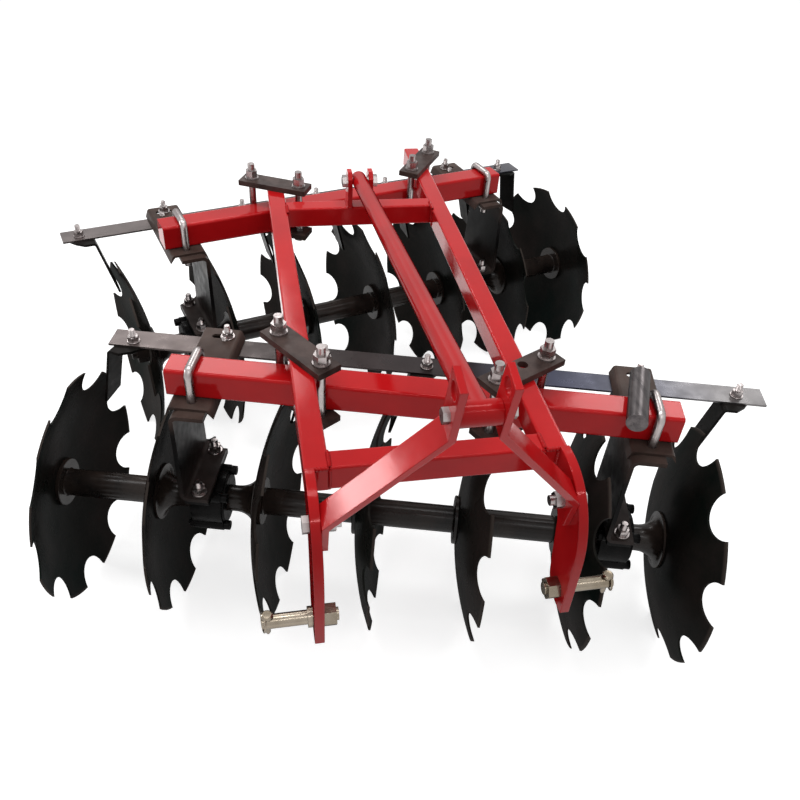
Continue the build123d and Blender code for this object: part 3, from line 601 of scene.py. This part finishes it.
disc_black_and_reflection = finish(
    "disc black and painted reflection", ((0.0040, 0.0085, 0.0070), (0.030, 0.0225, 0.0205)), 4.0, (0.2, 0.34),
    gloss=0.012, peel=(300.0, 0.00004),
)
for gang, (y, turn, _) in GANGS.items():
    rimmed = disc_black_and_reflection.copy()
    rimmed.name = "disc black and painted reflection " + gang
    # The distance from the axle's line finds the ground rim, which is painted lighter as a
    # highlight.
    own = put(rimmed, "Mapping", Location=(0, y, AXLE_Z), Rotation=(0, 0, math.radians(turn)))
    own.vector_type = "TEXTURE"
    flat = put(rimmed, "VectorMath")
    flat.operation = "MULTIPLY"
    flat.inputs[1].default_value = (0, 1, 1)
    reach = put(rimmed, "VectorMath")
    reach.operation = "LENGTH"
    ground_and_highlight = put(rimmed, "MapRange", From_Min=EDGE_FROM, From_Max=EDGE_FULL)
    mixed = over_colour(rimmed, "MIX")
    mixed.inputs[MIX_OVER].default_value = EDGE_STEEL_AND_HIGHLIGHT
    link(rimmed, rimmed.node_tree.nodes["place"], "Object", own, "Vector")
    link(rimmed, own, "Vector", flat, 0)
    link(rimmed, flat, "Vector", reach, 0)
    link(rimmed, reach, "Value", ground_and_highlight, "Value")
    link(rimmed, ground_and_highlight, "Result", mixed, MIX_FACTOR)
    rounded("discs_" + gang, rimmed, gang + "_gang", angle=38)

# ---------------------------------------------------------------- spools and axles
# Cast spools keep the discs apart on a square axle, drawn up by a nut at each end
# against a thick end plate. The two at the bearings flare to the discs in wide bells.
# Turned smooth and sprayed with the same black, wetter.
FIRST_HOLLOW = -0.676
DISC_PITCH = 0.200
SPOOL_GAPS = 6
BELL_GAPS = (1, 5)
SPOOL_L = 0.196
BORE_R = 0.0205
SPOOL_R = 0.027
FLANGE_R = 0.048
FLANGE_T = 0.008
FLANGE_FILLET = 0.002
NECK_R = 0.026
BELL_R = 0.056
BELL_L = 0.043
BELL_LIP = 0.0045
BELL_STEPS = 10
ROUNDED = 0.0012
SPOOL_STEPS = 96

spool_black = finish(
    "spool black", ((0.008, 0.0065, 0.006), (0.040, 0.028, 0.023)), 9.0, (0.16, 0.3),
    gloss=0.2, peel=(240.0, 0.00005),
)


def end_half(bell):
    """Half of a spool's profile, from the bore at the end to the waist."""
    if not bell:
        waist = FLANGE_T + FLANGE_FILLET
        return [
            (BORE_R, 0), (FLANGE_R - ROUNDED, 0), (FLANGE_R, ROUNDED),
            (FLANGE_R, FLANGE_T - ROUNDED), (FLANGE_R - ROUNDED, FLANGE_T),
            (SPOOL_R + FLANGE_FILLET, FLANGE_T), (SPOOL_R, waist), (SPOOL_R, waist + 0.0001),
        ]
    across, deep = BELL_R - NECK_R, BELL_L - BELL_LIP
    curve = [(BORE_R, 0), (BELL_R - ROUNDED / 2, 0), (BELL_R, ROUNDED / 2), (BELL_R, BELL_LIP)]
    for step in range(1, BELL_STEPS + 1):
        angle = math.radians(90 * step / BELL_STEPS)
        curve.append((BELL_R - across * math.sin(angle), BELL_LIP + deep * (1 - math.cos(angle))))
    return curve


for gang in GANGS:
    mesh = bmesh.new()
    for gap in range(SPOOL_GAPS):
        half = end_half(gap in BELL_GAPS)
        profile = half + [(radius, SPOOL_L - height) for radius, height in reversed(half)]
        spot = on_gang(gang, FIRST_HOLLOW + gap * DISC_PITCH, 0, AXLE_Z) @ along_axle(gang)
        add(mesh, lathe(profile + half[:1], SPOOL_STEPS), spot)
    spools = piece("cast_spools_" + gang, mesh, spool_black, gang + "_gang")
    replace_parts(spools, "spools_" + gang)
    rounded("axle_" + gang, spool_black, gang + "_gang")

# ---------------------------------------------------------------- steel bar on the right
# A plain round bar of steel, drawn through a die that left fine lines along it. It lies
# across the front gang beam by the right rod.
LINES_ALONG = (1, 0.06, 1)
rounded("steel_bar", finish(
    "turned steel", ((0.07, 0.063, 0.065), (0.14, 0.125, 0.125)), 90.0, (0.26, 0.38),
    metal=1.0, peel=(500.0, 0.00002), stretch=LINES_ALONG,
))

# ---------------------------------------------------------------- lower hitch pins
# A turned steel pin with a collar through each hitch plate and a nut inside, plated in
# yellow zinc. A linch pin through its end, with its ring folded back, keeps the tractor's
# lower link on.
PIN_Y = -0.7179
PIN_Z = 0.403
LINCH_X = 0.2690
LINCH_SHANK = (
    # radius and height about the hitch pin's axis, from the tip up to the head
    (0, -0.030), (0.0022, -0.029), (0.0042, -0.024), (0.0045, 0.0105), (0.0085, 0.0112),
    (0.0092, 0.0135), (0.0088, 0.0165), (0.0068, 0.0182), (0, 0.0188),
)
RING_R = 0.0148
RING_WIRE_R = 0.0016
RING_SIDES = 10
RING_STEPS = 36
RING_OUT = 0.006
RING_FOLD = 84
RING_LEAN = 8

yellow = finish(
    "yellow zinc", ((0.24, 0.20, 0.15), (0.36, 0.31, 0.25)), 18.0, (0.16, 0.3),
    metal=1.0, peel=(700.0, 0.00004), edge=0.0006,
)
rounded("lower_pins", yellow)

mesh = bmesh.new()
for side in (-1, 1):
    spot = Matrix.Translation((side * LINCH_X, PIN_Y, PIN_Z))
    add(mesh, lathe(LINCH_SHANK), spot)
    ring = bmesh.new()
    bmesh.ops.create_circle(ring, segments=RING_SIDES, radius=RING_WIRE_R)
    upright = Matrix.Translation((RING_R, 0, 0)) @ Matrix.Rotation(math.pi / 2, 4, "X")
    bmesh.ops.transform(ring, matrix=upright, verts=ring.verts)
    spun(ring, ring.verts[:] + ring.edges[:], RING_STEPS)
    fold = Matrix.Rotation(side * math.radians(RING_FOLD), 4, "Y")
    lean = Matrix.Rotation(math.radians(RING_LEAN), 4, "X")
    add(mesh, ring, spot @ Matrix.Translation((side * RING_OUT, 0, 0)) @ fold @ lean)
piece("linch_pins", mesh, yellow)

# ---------------------------------------------------------------- studio
# A plain pale floor and a white surround that the camera and the gloss see as white,
# under soft lamps: a long one overhead, a thin tube in front, a small one low on the
# left that shines in the mast leg, and two behind for the tops of the beams.
FLOOR_R = 14.0
FLOOR_SHADE = 0.62
FLOOR_GLOW = 0.72
WORLD_LIGHT = 0.45
LAMPS = (
    # name, place, what it aims at, width, depth, watts
    ("overhead lamp", (-0.55, 0.2, 3.2), (-0.1, 0.1, 0.5), 0.6, 3.2, 46),
    ("front tube", (0.2, -2.3, 3.1), (0, 0, 0.5), 3.0, 0.07, 16),
    ("left lamp", (-2.66, 0.83, 0.76), (0, -0.5, 0.6), 0.7, 0.34, 14),
    ("rear left lamp", (-0.55, 2.4, 2.6), (0, 0, 0.45), 1.1, 0.7, 13),
    ("rear right lamp", (2.2, 1.9, 2.75), (0, 0, 0.45), 1.1, 0.7, 14),
)

mesh = bmesh.new()
bmesh.ops.create_circle(mesh, cap_ends=True, segments=96, radius=FLOOR_R)
data = bpy.data.meshes.new("floor")
mesh.to_mesh(data)
mesh.free()
floor = bpy.data.objects.new("floor", data)
bpy.context.scene.collection.objects.link(floor)


def seen(owner):
    """1 for rays from the camera and for gloss and glass, 0 for light that falls on
    things. The owner is the material or world whose nodes ask."""
    path = put(owner, "LightPath")
    last = path.outputs["Is Camera Ray"]
    for output in ("Is Glossy Ray", "Is Transmission Ray"):
        larger = put(owner, "Math")
        larger.operation = "MAXIMUM"
        owner.node_tree.links.new(last, larger.inputs[0])
        link(owner, path, output, larger, 1)
        last = larger.outputs[0]
    return last


pale = bpy.data.materials.new("floor")
pale.use_nodes = True
pale.node_tree.nodes.clear()
shown = put(pale, "OutputMaterial")
matt = put(pale, "BsdfDiffuse", Color=(FLOOR_SHADE, FLOOR_SHADE, FLOOR_SHADE, 1))
white = put(pale, "Emission", Strength=FLOOR_GLOW)
both = put(pale, "AddShader")
choice = put(pale, "MixShader")
pale.node_tree.links.new(seen(pale), choice.inputs[0])
link(pale, matt, 0, both, 0)
link(pale, white, 0, both, 1)
link(pale, matt, 0, choice, 1)
link(pale, both, 0, choice, 2)
link(pale, choice, 0, shown, "Surface")
floor.data.materials.append(pale)

world = bpy.data.worlds.new("studio")
bpy.context.scene.world = world
world.use_nodes = True
around = world.node_tree.nodes["Background"]
around.inputs["Color"].default_value = (1, 1, 1, 1)
strength = put(world, "MapRange", To_Min=WORLD_LIGHT, To_Max=1.0)
world.node_tree.links.new(seen(world), strength.inputs["Value"])
link(world, strength, "Result", around, "Strength")

for name, spot, aim, width, depth, power in LAMPS:
    light = bpy.data.lights.new(name, "AREA")
    light.shape = "RECTANGLE"
    light.size = width
    light.size_y = depth
    light.energy = power
    made = bpy.data.objects.new(name, light)
    way = (Vector(aim) - Vector(spot)).to_track_quat("-Z", "Y").to_matrix().to_4x4()
    made.matrix_world = Matrix.Translation(spot) @ way
    bpy.context.scene.collection.objects.link(made)

# The camera stands 1.4 m up, 0.7 m in front of the hitch and a little to its left. It
# looks down along the harrow on a normal lens, with a slight roll.
EYE = (-0.2598, -1.4258, 1.4159)
HEADING, TILT, ROLL = -13.29, -39.55, 4.34
LENS = 35.55

camera = bpy.data.objects.new("camera", bpy.data.cameras.new("camera"))
camera.data.lens = LENS
camera.data.sensor_width = 36.0
camera.matrix_world = (
    Matrix.Translation(EYE)
    @ turned(HEADING)
    @ Matrix.Rotation(math.radians(90 + TILT), 4, "X")
    @ turned(ROLL)
)
bpy.context.scene.collection.objects.link(camera)
bpy.context.scene.camera = camera
bpy.context.scene.view_settings.view_transform = "Standard"
